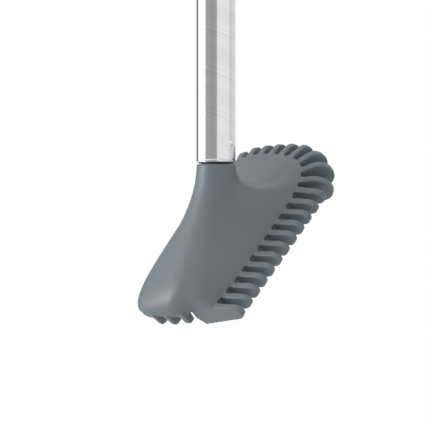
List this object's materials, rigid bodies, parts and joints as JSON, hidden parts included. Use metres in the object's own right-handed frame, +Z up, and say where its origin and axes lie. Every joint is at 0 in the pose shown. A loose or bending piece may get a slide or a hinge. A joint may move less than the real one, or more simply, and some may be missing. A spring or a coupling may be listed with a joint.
{
  "type": "silicone cleaning brush",
  "caption": "Golf-club-shaped silicone scrubbing brush head with flexible fins, screwed to a straight stainless tube handle.",
  "frame": {"origin": "on the axis of the handle tube, at the tube's lower end", "axes": "+Z up the handle tube, +X towards the head's heel, -Y towards the side with the long fins"},
  "size_m": [0.0724, 0.0625, 0.391],
  "materials": {
    "tube_steel": "fine brushed stainless steel",
    "polished_steel": "polished steel",
    "stud_steel": "plain machined steel",
    "washer_rubber": "black rubber",
    "silicone": "satin slate-grey silicone",
    "core_plastic": "glass-filled plastic",
    "insert_brass": "turned brass"
  },
  "bodies": {
    "handle": {"handle_tube": "tube_steel", "end_cap": "polished_steel", "tube_plug": "polished_steel", "plug_pin": "polished_steel", "threaded_stud": "stud_steel"},
    "washer": {"seal_washer": "washer_rubber"},
    "head": {"head_shell": "silicone", "head_core": "core_plastic", "threaded_insert": "insert_brass", "fin_pad": "silicone", "side_fins_right": "silicone", "side_fins_left": "silicone", "heel_fins": "silicone", "toe_fins": "silicone"}
  },
  "joints": [
    {"name": "washer_slide", "type": "slide", "parent": "handle", "child": "washer", "axis": [0, 0, -1], "range_m": [0, 0.0121]},
    {"name": "head_turn", "type": "hinge", "parent": "washer", "child": "head", "pos_m": [0, 0, 0], "axis": [0, 0, -1], "range_deg": [0, 1440]}
  ],
  "couplings": [
    {"joint": "washer_slide", "follows": "head_turn", "m_per_rad": 0.00047746}
  ]
}
